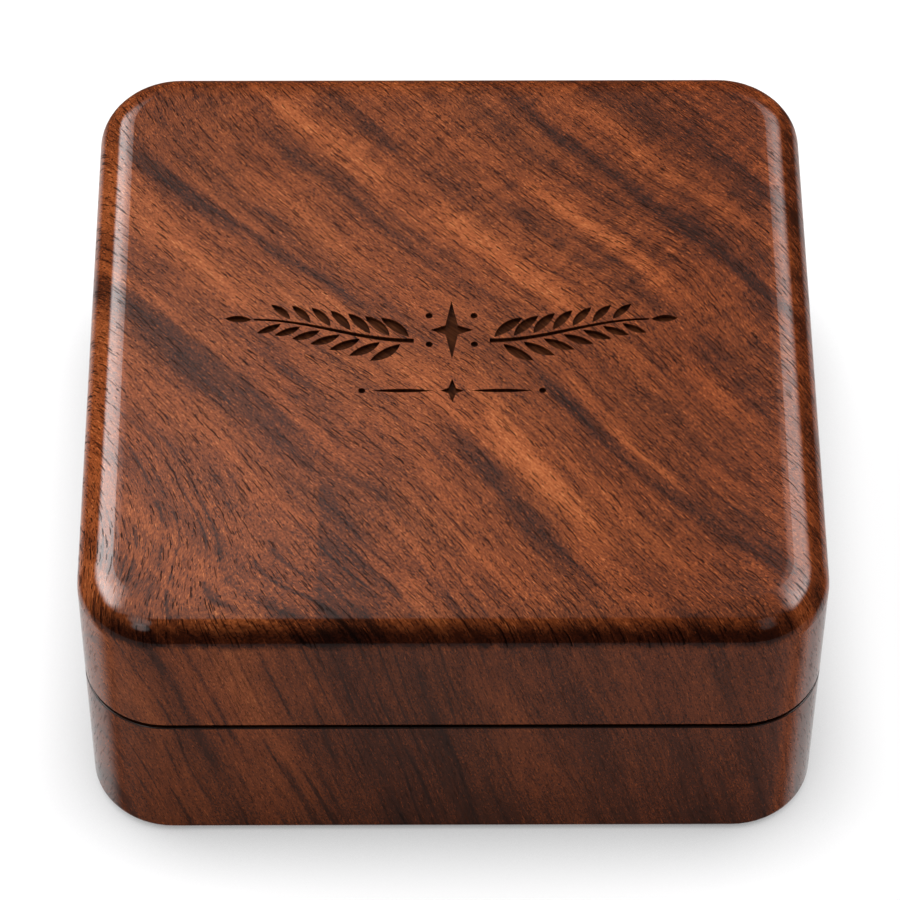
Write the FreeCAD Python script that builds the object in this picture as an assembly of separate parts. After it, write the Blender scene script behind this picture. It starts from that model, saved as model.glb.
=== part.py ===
import FreeCAD, Part
import math
import os

from FreeCAD import Vector as V

# Sliding lid keepsake box in solid timber. Millimetres, +Z up.
# Origin: centre of the footprint, on the surface that the box stands on.
# The front faces -Y. The lid slides straight back, along +Y.

# ---------------------------------------------------------------- driving dimensions
WIDTH = 100.0            # outside, along X
DEPTH = 100.0            # outside, along Y
HEIGHT = 47.7            # outside, felt to lid top
CORNER_R = 11.4          # vertical corners
TOP_ROUND = 5.0          # round-over on the lid's top edge
BOTTOM_ROUND = 1.5       # round on the base's bottom edge
ARRIS = 0.3              # eased lower edge of the lid
RIM_ARRIS = 0.15         # eased upper edge of the base
RIM_Z = 24.85            # top of the base's rim
SEAM_GAP = 0.6           # the runners hold the lid this far above the rim
LID_Z = RIM_Z + SEAM_GAP
STAND = 0.2              # the felt stands this far proud of the timber underneath

POCKET_X = 72.5          # pocket in the base
POCKET_Y = 76.0
POCKET_R = 6.35          # left by a half-inch cutter
POCKET_FLOOR_Z = 5.2

LEDGE_Z = 20.6           # ledge that the runners slide on
DOVETAIL_LOW_X = 39.75   # undercut flank, at the ledge
DOVETAIL_HIGH_X = 38.6   # undercut flank, at the rim
CHANNEL_INNER_X = 29.9   # inner side of the notch through the back wall
CHANNEL_FRONT_Y = -38.0

RUNNER_PLAY = 0.15       # between the runner's flank and the undercut
RUNNER_LIFT = 0.1        # between the runner's sole and the ledge
RUNNER_INNER_X = 30.1
RUNNER_FRONT_Y = -37.7
RUNNER_SET_BACK = 0.1    # the runner's end sits this far inside the back face

TRAVEL = 60.0            # lid travel between the stops

PIN_X = 36.4             # captive stop pins
PIN_Y = 44.0
PIN_R = 1.25
PIN_TOP_Z = 22.6
PIN_SLOT_W = 2.9
PIN_SLOT_TOP_Z = 23.0
PIN_SLOT_PLAY = 0.2

SCREW_X = 32.8           # three countersunk screws in each runner
SCREW_Y = (-31.0, 3.0, 37.0)
SCREW_HEAD_R = 1.8
SCREW_SHANK_R = 0.9
SCREW_LENGTH = 11.0

MAGNET_X = 22.0          # two disc magnets in each front rim
MAGNET_Y = -44.2
MAGNET_R = 3.0
MAGNET_T = 2.5

LINING_T = 1.2           # velvet-covered card round the pocket
LINING_TOP_Z = 20.0
CARD_T = 1.0
CUSHION_T = 3.5

RECESS_X = 58.0          # recess in the lid's underside
RECESS_Y = 73.0
RECESS_R = 6.35
RECESS_TOP_Z = 38.65
LID_PAD_T = 2.5

FELT = 91.0              # felt sheet let into the underside
FELT_R = 7.0
FELT_T = 1.2

ENGRAVE_DEPTH = 0.6      # ornament cut into the lid's top
ORNAMENT_Y = 0.6         # middle of the leaf band
DIVIDER_Y = -10.1        # middle of the small line under it

os.makedirs("parts", exist_ok=True)


# ---------------------------------------------------------------- helpers
def rounded_outline(w, d, r, z, cy=0.0):
    """Closed wire: a rectangle w by d with corners of radius r, centred on (0, cy)."""
    x, y = w / 2, d / 2
    k = r * (1 - math.sqrt(0.5))
    edges = [
        Part.LineSegment(V(-x + r, cy - y, z), V(x - r, cy - y, z)).toShape(),
        Part.Arc(V(x - r, cy - y, z), V(x - k, cy - y + k, z), V(x, cy - y + r, z)).toShape(),
        Part.LineSegment(V(x, cy - y + r, z), V(x, cy + y - r, z)).toShape(),
        Part.Arc(V(x, cy + y - r, z), V(x - k, cy + y - k, z), V(x - r, cy + y, z)).toShape(),
        Part.LineSegment(V(x - r, cy + y, z), V(-x + r, cy + y, z)).toShape(),
        Part.Arc(V(-x + r, cy + y, z), V(-x + k, cy + y - k, z), V(-x, cy + y - r, z)).toShape(),
        Part.LineSegment(V(-x, cy + y - r, z), V(-x, cy - y + r, z)).toShape(),
        Part.Arc(V(-x, cy - y + r, z), V(-x + k, cy - y + k, z), V(-x + r, cy - y, z)).toShape(),
    ]
    return Part.Wire(edges)


def rounded_slab(w, d, r, z0, z1):
    return Part.Face(rounded_outline(w, d, r, z0)).extrude(V(0, 0, z1 - z0))


def edges_at(shape, z):
    return [e for e in shape.Edges if abs(e.BoundBox.ZMin - z) < 1e-6 and abs(e.BoundBox.ZMax - z) < 1e-6]


def polygon_xz(points, y0, y1):
    """Prism along Y from a closed outline in the XZ plane."""
    ring = [V(x, y0, z) for x, z in points]
    return Part.Face(Part.makePolygon(ring + [ring[0]])).extrude(V(0, y1 - y0, 0))


def mirrored(shape):
    return shape.mirror(V(0, 0, 0), V(1, 0, 0))


def disc(x, y, z0, z1, r, chamfer=0.0):
    body = Part.makeCylinder(r, z1 - z0, V(x, y, z0))
    return body.makeChamfer(chamfer, [e for e in body.Edges if e.Curve.TypeId == "Part::GeomCircle"]) if chamfer else body


def write(name, *shapes):
    shape = shapes[0] if len(shapes) == 1 else Part.makeCompound(list(shapes))
    for solid in shape.Solids:
        if not solid.isValid():
            raise ValueError(name + " has a bad solid")
    shape.exportStep("parts/" + name + ".step")
    print(name, "solids", len(shape.Solids), "volume cm3", round(shape.Volume / 1000, 3))


# ---------------------------------------------------------------- base
base = rounded_slab(WIDTH, DEPTH, CORNER_R, STAND, RIM_Z)
base = base.makeFillet(BOTTOM_ROUND, edges_at(base, STAND))
base = base.makeFillet(RIM_ARRIS, edges_at(base, RIM_Z))

base = base.cut(rounded_slab(POCKET_X, POCKET_Y, POCKET_R, POCKET_FLOOR_Z, RIM_Z + 5))

# Undercut channel along the inside of each side rim, open through the back wall.
slope = (DOVETAIL_HIGH_X - DOVETAIL_LOW_X) / (RIM_Z - LEDGE_Z)
over = 1.0
channel = polygon_xz(
    [
        (CHANNEL_INNER_X, LEDGE_Z),
        (DOVETAIL_LOW_X, LEDGE_Z),
        (DOVETAIL_HIGH_X + slope * over, RIM_Z + over),
        (CHANNEL_INNER_X, RIM_Z + over),
    ],
    CHANNEL_FRONT_Y,
    DEPTH / 2 + 5,
)
base = base.cut(channel).cut(mirrored(channel))

for side in (1, -1):
    base = base.cut(disc(side * PIN_X, PIN_Y, 0.0, LEDGE_Z + 0.5, PIN_R + 0.02))
    base = base.cut(disc(side * MAGNET_X, MAGNET_Y, RIM_Z - MAGNET_T - 0.1, RIM_Z + 1, MAGNET_R + 0.02))

base = base.cut(rounded_slab(FELT + 0.2, FELT + 0.2, FELT_R + 0.1, -1.0, FELT_T))
write("base_body", base)

# ---------------------------------------------------------------- lid
lid = rounded_slab(WIDTH, DEPTH, CORNER_R, LID_Z, HEIGHT)
lid = lid.makeFillet(TOP_ROUND, edges_at(lid, HEIGHT))
lid = lid.makeFillet(ARRIS, edges_at(lid, LID_Z))
lid = lid.cut(rounded_slab(RECESS_X, RECESS_Y, RECESS_R, LID_Z - 1, RECESS_TOP_Z))

for side in (1, -1):
    lid = lid.cut(disc(side * MAGNET_X, MAGNET_Y, LID_Z - 1, LID_Z + MAGNET_T + 0.1, MAGNET_R + 0.02))
    for y in SCREW_Y:
        lid = lid.cut(disc(side * SCREW_X, y, LID_Z - 1, LEDGE_Z + RUNNER_LIFT + SCREW_LENGTH + 0.6, SCREW_SHANK_R + 0.02))


# Engraved ornament: two laurel sprays either side of a four-pointed star, over a small line divider.
def lens(p, q, left, right):
    """Pointed leaf from p to q whose two sides bulge by left and right of the line p to q."""
    dx, dy = q[0] - p[0], q[1] - p[1]
    length = math.hypot(dx, dy)
    nx, ny = -dy / length, dx / length
    mx, my = (p[0] + q[0]) / 2, (p[1] + q[1]) / 2
    a, b = V(p[0], p[1], 0), V(q[0], q[1], 0)
    upper = Part.Arc(a, V(mx + nx * left, my + ny * left, 0), b).toShape()
    lower = Part.Arc(b, V(mx - nx * right, my - ny * right, 0), a).toShape()
    return Part.Face(Part.Wire([upper, lower]))


def stem_point(t):
    return 5.2 + 22.0 * t, 1.9 * math.sin(math.pi * (t - 0.5))


def stem_frame(t):
    e = 1e-4
    x0, y0 = stem_point(t - e)
    x1, y1 = stem_point(t + e)
    s = math.hypot(x1 - x0, y1 - y0)
    return (x1 - x0) / s, (y1 - y0) / s


def stem_width(t):
    return 0.78 - 0.44 * t


def spray():
    faces = []
    upper, lower = [], []
    for i in range(13):
        t = i / 12
        x, y = stem_point(t)
        tx, ty = stem_frame(t)
        w = stem_width(t) / 2
        upper.append(V(x - ty * w, y + tx * w, 0))
        lower.append(V(x + ty * w, y - tx * w, 0))
    top, bottom = Part.BSplineCurve(), Part.BSplineCurve()
    top.interpolate(upper)
    bottom.interpolate(lower)
    faces.append(
        Part.Face(
            Part.Wire(
                [
                    top.toShape(),
                    Part.LineSegment(upper[-1], lower[-1]).toShape(),
                    bottom.toShape(),
                    Part.LineSegment(lower[0], upper[0]).toShape(),
                ]
            )
        )
    )
    pairs = 7
    for i in range(pairs):
        for side in (1, -1):
            t = 0.03 + 0.87 * (i + (0.0 if side > 0 else 0.42)) / pairs
            x, y = stem_point(t)
            tx, ty = stem_frame(t)
            off = stem_width(t) / 2 + 0.24
            bx, by = x - side * ty * off, y + side * tx * off
            turn = side * math.radians(40 - 6 * t)
            lx = tx * math.cos(turn) - ty * math.sin(turn)
            ly = tx * math.sin(turn) + ty * math.cos(turn)
            length = 5.3 - 1.9 * t
            outer, inner = 0.19 * length, 0.11 * length
            left, right = (outer, inner) if side > 0 else (inner, outer)
            faces.append(lens((bx, by), (bx + lx * length, by + ly * length), left, right))
    x, y = stem_point(1.0)
    tx, ty = stem_frame(1.0)
    faces.append(lens((x + tx * 0.3, y + ty * 0.3), (x + tx * 4.0, y + ty * 4.0 + 0.2), 0.62, 0.62))
    return faces


def star(w, h, waist):
    """Four-pointed star."""
    k = waist
    ring = [(0, h), (k, k), (w, 0), (k, -k), (0, -h), (-k, -k), (-w, 0), (-k, k)]
    ring = [V(x, y, 0) for x, y in ring]
    return Part.Face(Part.makePolygon(ring + [ring[0]]))


def dot(x, y, r):
    return Part.Face(Part.Wire([Part.Circle(V(x, y, 0), V(0, 0, 1), r).toShape()]))


half = spray()
half.append(dot(3.1, 2.55, 0.5))
half.append(dot(3.1, -2.55, 0.5))
band = [star(3.0, 5.2, 0.85)] + half + [mirrored(f) for f in half]

line_half = [lens((2.5, 0), (11.0, 0), 0.34, 0.34), dot(12.3, 0, 0.48)]
divider = [star(1.6, 2.1, 0.5)] + line_half + [mirrored(f) for f in line_half]

cutters = []
for faces, cy in ((band, ORNAMENT_Y), (divider, DIVIDER_Y)):
    for f in faces:
        g = f.copy()
        g.translate(V(0, cy, HEIGHT - ENGRAVE_DEPTH))
        cutters.append(g.extrude(V(0, 0, ENGRAVE_DEPTH + 1.0)))
lid = lid.cut(Part.makeCompound(cutters))
write("lid_body", lid)

# ---------------------------------------------------------------- runners
sole_z = LEDGE_Z + RUNNER_LIFT
play = RUNNER_PLAY * math.sqrt(1 + slope * slope)
flank_low = DOVETAIL_LOW_X + slope * RUNNER_LIFT - play
flank_high = flank_low + slope * (LID_Z - sole_z)
runner = polygon_xz(
    [(RUNNER_INNER_X, sole_z), (flank_low, sole_z), (flank_high, LID_Z), (RUNNER_INNER_X, LID_Z)],
    RUNNER_FRONT_Y,
    DEPTH / 2 + 5,
)
inset = 2 * RUNNER_SET_BACK
runner = runner.common(rounded_slab(WIDTH - inset, DEPTH - inset, CORNER_R - RUNNER_SET_BACK, 0, HEIGHT))

# Blind slot for the stop pin: its two ends are the two ends of the lid's travel.
slot_r = PIN_SLOT_W / 2
slot_back = PIN_Y + PIN_R + PIN_SLOT_PLAY - slot_r
slot_front = PIN_Y - TRAVEL - PIN_R - PIN_SLOT_PLAY + slot_r
slot = Part.makeBox(PIN_SLOT_W, slot_back - slot_front, PIN_SLOT_TOP_Z - sole_z + 1, V(PIN_X - slot_r, slot_front, sole_z - 1))
for y in (slot_front, slot_back):
    slot = slot.fuse(Part.makeCylinder(slot_r, PIN_SLOT_TOP_Z - sole_z + 1, V(PIN_X, y, sole_z - 1)))
runner = runner.cut(slot.removeSplitter())

head_z = sole_z + 0.1
for y in SCREW_Y:
    runner = runner.cut(Part.makeCylinder(SCREW_SHANK_R + 0.05, 10, V(SCREW_X, y, sole_z - 1)))
    sink = Part.makeCone(SCREW_HEAD_R + 0.15, SCREW_SHANK_R + 0.05, SCREW_HEAD_R - SCREW_SHANK_R + 0.1, V(SCREW_X, y, sole_z))
    runner = runner.cut(sink)
write("right_runner", runner)
write("left_runner", mirrored(runner))


def screw(x, y):
    """Countersunk wood screw, head down, driven up through the runner into the lid."""
    cone = Part.makeCone(SCREW_HEAD_R, SCREW_SHANK_R, SCREW_HEAD_R - SCREW_SHANK_R, V(x, y, head_z))
    shank_top = head_z + SCREW_LENGTH - 1.6
    shank = Part.makeCylinder(SCREW_SHANK_R, shank_top - head_z - 0.5, V(x, y, head_z + 0.5))
    tip = Part.makeCone(SCREW_SHANK_R, 0.15, 1.6, V(x, y, shank_top))
    body = cone.fuse(shank).fuse(tip).removeSplitter()
    cross = Part.makeBox(2.2, 0.45, 0.9, V(x - 1.1, y - 0.225, head_z - 0.5))
    cross = cross.fuse(Part.makeBox(0.45, 2.2, 0.9, V(x - 0.225, y - 1.1, head_z - 0.5)))
    return body.cut(cross.removeSplitter())


write("runner_screws", *[screw(s * SCREW_X, y) for s in (-1, 1) for y in SCREW_Y])

# ---------------------------------------------------------------- stop pins and magnets
write("stop_pins", *[disc(s * PIN_X, PIN_Y, FELT_T + 0.2, PIN_TOP_Z, PIN_R, 0.25) for s in (-1, 1)])
write("base_magnets", *[disc(s * MAGNET_X, MAGNET_Y, RIM_Z - MAGNET_T - 0.05, RIM_Z - 0.05, MAGNET_R, 0.15) for s in (-1, 1)])
write("lid_magnets", *[disc(s * MAGNET_X, MAGNET_Y, LID_Z + 0.05, LID_Z + 0.05 + MAGNET_T, MAGNET_R, 0.15) for s in (-1, 1)])

# ---------------------------------------------------------------- linings
fit = 0.1
outer = rounded_slab(POCKET_X - 2 * fit, POCKET_Y - 2 * fit, POCKET_R - fit, POCKET_FLOOR_Z + 0.05, LINING_TOP_Z)
inner = rounded_slab(
    POCKET_X - 2 * fit - 2 * LINING_T, POCKET_Y - 2 * fit - 2 * LINING_T, POCKET_R - fit - LINING_T, POCKET_FLOOR_Z - 1, LINING_TOP_Z + 1
)
write("wall_lining", outer.cut(inner))

pad_x = POCKET_X - 2 * (fit + LINING_T + 0.35)
pad_y = POCKET_Y - 2 * (fit + LINING_T + 0.35)
pad_r = POCKET_R - fit - LINING_T - 0.35
card_z = POCKET_FLOOR_Z + 0.05
write("floor_card", rounded_slab(pad_x, pad_y, pad_r, card_z, card_z + CARD_T))
cushion = rounded_slab(pad_x, pad_y, pad_r, card_z + CARD_T + 0.05, card_z + CARD_T + 0.05 + CUSHION_T)
cushion = cushion.makeFillet(1.2, edges_at(cushion, card_z + CARD_T + 0.05 + CUSHION_T))
write("floor_cushion", cushion)

lid_pad_x, lid_pad_y, lid_pad_r = RECESS_X - 0.7, RECESS_Y - 0.7, RECESS_R - 0.35
card_top = RECESS_TOP_Z - 0.05
write("lid_card", rounded_slab(lid_pad_x, lid_pad_y, lid_pad_r, card_top - CARD_T, card_top))
pad_top = card_top - CARD_T - 0.05
pad = rounded_slab(lid_pad_x, lid_pad_y, lid_pad_r, pad_top - LID_PAD_T, pad_top)
pad = pad.makeFillet(0.9, edges_at(pad, pad_top - LID_PAD_T))
write("lid_pad", pad)

write("underside_felt", rounded_slab(FELT, FELT, FELT_R, 0.0, FELT_T))
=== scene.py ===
import bpy
import bmesh
import math
from mathutils import Matrix, Vector, noise


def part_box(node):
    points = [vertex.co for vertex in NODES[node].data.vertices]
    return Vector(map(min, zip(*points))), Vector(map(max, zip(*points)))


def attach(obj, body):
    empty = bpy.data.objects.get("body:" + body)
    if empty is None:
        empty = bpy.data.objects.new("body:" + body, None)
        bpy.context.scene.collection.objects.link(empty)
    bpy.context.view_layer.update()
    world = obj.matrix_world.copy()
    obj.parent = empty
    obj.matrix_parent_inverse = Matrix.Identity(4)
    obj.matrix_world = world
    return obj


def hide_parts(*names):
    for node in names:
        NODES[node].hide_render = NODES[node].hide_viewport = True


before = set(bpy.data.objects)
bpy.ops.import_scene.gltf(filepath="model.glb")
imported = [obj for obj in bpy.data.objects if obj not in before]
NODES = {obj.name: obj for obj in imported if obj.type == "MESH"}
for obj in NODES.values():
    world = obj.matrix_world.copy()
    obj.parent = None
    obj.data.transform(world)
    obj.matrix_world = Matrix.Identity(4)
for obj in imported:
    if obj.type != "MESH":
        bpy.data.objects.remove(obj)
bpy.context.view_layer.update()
scene = bpy.context.scene
scene.view_settings.view_transform = "Standard"
scene.view_settings.look = "None"
scene.view_settings.exposure = 0.0
scene.view_settings.gamma = 1.0

TOP_Z = 47.7          # lid top, mm


# ---------------------------------------------------------------- camera
def make_camera():
    pitch, yaw, roll = (math.radians(a) for a in (51.862, 0.723, 0.446))
    fw = Vector((math.sin(yaw) * math.cos(pitch), math.cos(yaw) * math.cos(pitch), -math.sin(pitch)))
    right = Vector((math.cos(yaw), -math.sin(yaw), 0.0))
    up = right.cross(fw)
    x = right * math.cos(roll) + up * math.sin(roll)
    y = -right * math.sin(roll) + up * math.cos(roll)
    z = -fw
    data = bpy.data.cameras.new("main_camera")
    data.sensor_width = 36.0
    data.lens = 181.62
    data.clip_start, data.clip_end = 0.02, 50.0
    cam = bpy.data.objects.new("main_camera", data)
    cam.matrix_world = Matrix((
        (x.x, y.x, z.x, -0.005128),
        (x.y, y.y, z.y, -0.397723),
        (x.z, y.z, z.z, 0.528316),
        (0, 0, 0, 1),
    ))
    scene.collection.objects.link(cam)
    scene.camera = cam


make_camera()


# ---------------------------------------------------------------- shader graph helper
class Graph:
    """Small helper that writes node formulas. Values may be numbers or sockets."""

    def __init__(self, tree):
        self.tree = tree
        self.nodes = tree.nodes
        self.links = tree.links

    def put(self, socket, value):
        if isinstance(value, bpy.types.NodeSocket):
            self.links.new(value, socket)
        elif value is not None:
            if isinstance(value, (tuple, list)) and len(value) == 3 and len(socket.default_value) == 4:
                value = (*value, 1.0)
            socket.default_value = value

    def math(self, op, a, b=None, c=None, clamp=False):
        n = self.nodes.new("ShaderNodeMath")
        n.operation = op
        n.use_clamp = clamp
        for i, v in enumerate((a, b, c)):
            self.put(n.inputs[i], v)
        return n.outputs[0]

    def add(self, a, b):
        return self.math("ADD", a, b)

    def sub(self, a, b):
        return self.math("SUBTRACT", a, b)

    def mul(self, a, b):
        return self.math("MULTIPLY", a, b)

    def mad(self, a, b, c):
        return self.math("MULTIPLY_ADD", a, b, c)

    def total(self, *parts):
        out = parts[0]
        for p in parts[1:]:
            out = self.add(out, p)
        return out

    def linear(self, xyz, cx, cy, cz, c0=0.0):
        return self.mad(xyz[0], cx, self.mad(xyz[1], cy, self.mad(xyz[2], cz, c0)))

    def step(self, v, lo, hi, to_lo=0.0, to_hi=1.0):
        """Smooth step of v from lo to hi."""
        n = self.nodes.new("ShaderNodeMapRange")
        n.interpolation_type = "SMOOTHSTEP"
        for i, x in enumerate((v, lo, hi, to_lo, to_hi)):
            self.put(n.inputs[i], x)
        return n.outputs[0]

    def fit(self, v, lo, hi, to_lo=0.0, to_hi=1.0):
        n = self.nodes.new("ShaderNodeMapRange")
        for i, x in enumerate((v, lo, hi, to_lo, to_hi)):
            self.put(n.inputs[i], x)
        return n.outputs[0]

    def vec(self, x, y, z):
        n = self.nodes.new("ShaderNodeCombineXYZ")
        for i, v in enumerate((x, y, z)):
            self.put(n.inputs[i], v)
        return n.outputs[0]

    def scaled(self, v, s):
        n = self.nodes.new("ShaderNodeVectorMath")
        n.operation = "SCALE"
        self.put(n.inputs[0], v)
        self.put(n.inputs["Scale"], s)
        return n.outputs[0]

    def noise(self, v, scale=1.0, detail=2.0, rough=0.5, distortion=0.0):
        n = self.nodes.new("ShaderNodeTexNoise")
        n.noise_dimensions = "3D"
        self.put(n.inputs["Vector"], v)
        self.put(n.inputs["Scale"], scale)
        self.put(n.inputs["Detail"], detail)
        self.put(n.inputs["Roughness"], rough)
        self.put(n.inputs["Distortion"], distortion)
        return n.outputs[0]

    def voronoi(self, v, scale=1.0, randomness=1.0, feature="F1"):
        n = self.nodes.new("ShaderNodeTexVoronoi")
        n.voronoi_dimensions = "3D"
        n.feature = feature
        self.put(n.inputs["Vector"], v)
        self.put(n.inputs["Scale"], scale)
        self.put(n.inputs["Randomness"], randomness)
        return n

    def cells(self, a, b, scale):
        """Flat Voronoi cells in (a, b): offset from the cell's point, in the units of a and b, and three random numbers."""
        n = self.nodes.new("ShaderNodeTexVoronoi")
        n.voronoi_dimensions = "2D"
        n.feature = "F1"
        self.put(n.inputs["Vector"], self.vec(a, b, 0.0))
        self.put(n.inputs["Scale"], scale)
        self.put(n.inputs["Randomness"], 1.0)
        px, py, _ = self.xyz(n.outputs["Position"])
        return self.sub(a, px), self.sub(b, py), self.xyz(n.outputs["Color"])

    def mix(self, fac, a, b, mode="MIX"):
        n = self.nodes.new("ShaderNodeMix")
        n.data_type = "RGBA"
        n.blend_type = mode
        self.put(n.inputs[0], fac)
        self.put(n.inputs[6], a)
        self.put(n.inputs[7], b)
        return n.outputs[2]

    def ramp(self, fac, stops):
        n = self.nodes.new("ShaderNodeValToRGB")
        n.color_ramp.interpolation = "LINEAR"
        els = n.color_ramp.elements
        while len(els) < len(stops):
            els.new(0.5)
        for e, (p, c) in zip(els, stops):
            e.position = p
            e.color = (*c, 1.0)
        self.put(n.inputs[0], fac)
        return n.outputs[0]

    def bump(self, height, distance=0.001, strength=1.0, normal=None):
        n = self.nodes.new("ShaderNodeBump")
        self.put(n.inputs["Strength"], strength)
        self.put(n.inputs["Distance"], distance)
        self.put(n.inputs["Height"], height)
        if normal is not None:
            self.put(n.inputs["Normal"], normal)
        return n.outputs[0]

    def xyz(self, v):
        n = self.nodes.new("ShaderNodeSeparateXYZ")
        self.put(n.inputs[0], v)
        return n.outputs[0], n.outputs[1], n.outputs[2]

    def face_normal(self):
        return self.nodes.new("ShaderNodeNewGeometry").outputs["True Normal"]

    def object_mm(self):
        n = self.nodes.new("ShaderNodeTexCoord")
        return self.scaled(n.outputs["Object"], 1000.0)


def srgb(r, g, b):
    out = []
    for v in (r, g, b):
        v /= 255.0
        out.append(v / 12.92 if v <= 0.04045 else ((v + 0.055) / 1.055) ** 2.4)
    return tuple(out)


def new_material(name):
    m = bpy.data.materials.new(name)
    m.use_nodes = True
    m.node_tree.nodes.clear()
    g = Graph(m.node_tree)
    out = g.nodes.new("ShaderNodeOutputMaterial")
    bsdf = g.nodes.new("ShaderNodeBsdfPrincipled")
    g.links.new(bsdf.outputs[0], out.inputs["Surface"])
    return m, g, bsdf


# ---------------------------------------------------------------- timber
# Broad swells that bend the layers: amplitude, x, y, radius in mm.
SWELLS = (
    (19.0, -39.0, -66.0, 25.0),
    (6.0, -44.0, -53.0, 9.0),
    (-6.5, -46.0, 55.0, 11.0),
    (-3.5, 33.0, 12.0, 9.0),
    (-4.5, 0.0, -19.0, 17.0),
)

# Darker heartwood streaks. Each follows layer a + b*t + c*t*t, with t = along - mid in mm, and runs over t from -half to half.
# (mid, half, a, b, c, soft edge towards lower layers, soft edge towards higher layers, strength)
STREAKS = (
    (3.5, 34.0, 37.3, 0.02, 0.0003, 2.4, 1.7, 0.42),
    (-16.0, 18.0, 32.3, 0.02, 0.0, 1.8, 1.4, 0.24),
    (2.0, 19.0, 22.6, 0.05, 0.001, 2.0, 1.4, 0.26),
    (-34.0, 26.0, -8.6, 0.10, 0.0010, 2.2, 1.5, 0.44),
    (-24.0, 27.0, 6.4, 0.02, 0.0020, 2.8, 2.0, 0.32),
    (-21.0, 29.0, -27.3, 0.02, 0.0, 7.5, 1.4, 0.40),
    (26.0, 19.0, -13.0, -0.16, 0.0, 3.6, 2.2, 0.40),
    (37.0, 29.0, 3.0, 0.02, 0.0026, 1.8, 2.2, 0.44),
    (33.0, 17.0, 12.0, 0.0, 0.0, 2.6, 2.0, 0.18),
    (-44.0, 14.0, 18.0, 0.0, 0.0, 2.2, 1.6, 0.18),
    (-2.0, 26.0, 50.0, 0.0, 0.0, 4.5, 4.0, 0.17),
    (50.0, 30.0, 24.0, 0.0, 0.0, 4.0, 3.0, 0.18),
    (-60.0, 24.0, -24.0, 0.0, 0.0, 3.0, 3.0, 0.20),
    # these come out on the front face
    (14.0, 9.0, -64.0, 0.0, 0.0, 3.0, 2.2, 0.22),
    (24.0, 9.0, -54.5, 0.0, 0.0, 2.4, 1.8, 0.18),
    (31.0, 9.0, -47.6, 0.0, 0.0, 3.6, 2.0, 0.24),
    (40.0, 9.0, -39.6, 0.0, 0.0, 2.6, 1.8, 0.20),
    (54.0, 8.5, -24.6, 0.0, 0.0, 2.8, 1.8, 0.26),
    (61.0, 8.0, -17.0, 0.0, 0.0, 2.2, 1.6, 0.22),
    (67.0, 8.0, -10.6, 0.0, 0.0, 2.0, 1.6, 0.20),
)

# Paler bands, in the same form.
PALE = (
    (-38.0, 13.0, 12.6, 0.0, 0.0, 3.4, 3.0, 0.30),
    (-29.0, 14.0, -1.0, 0.0, 0.0, 3.4, 2.6, 0.18),
    (-36.0, 20.0, -16.5, 0.0, 0.0, 6.0, 5.0, 0.20),
    (-4.0, 16.0, 15.5, 0.0, 0.0, 4.5, 3.2, 0.22),
    (2.0, 16.0, 27.6, 0.0, 0.0, 3.0, 2.4, 0.24),
    (26.0, 17.0, -7.6, -0.17, 0.0, 3.6, 2.8, 0.26),
    (33.0, 8.0, 4.6, -0.05, 0.0, 2.6, 2.0, 0.24),
    (-4.0, 22.0, -9.0, 0.0, 0.0, 7.0, 5.0, 0.12),
    (-2.0, 20.0, 42.6, 0.0, 0.0, 2.6, 2.6, 0.16),
    (22.0, 10.0, -56.0, 0.0, 0.0, 5.0, 4.0, 0.18),
    (47.0, 9.0, -31.5, 0.0, 0.0, 3.4, 3.0, 0.10),
)


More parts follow.
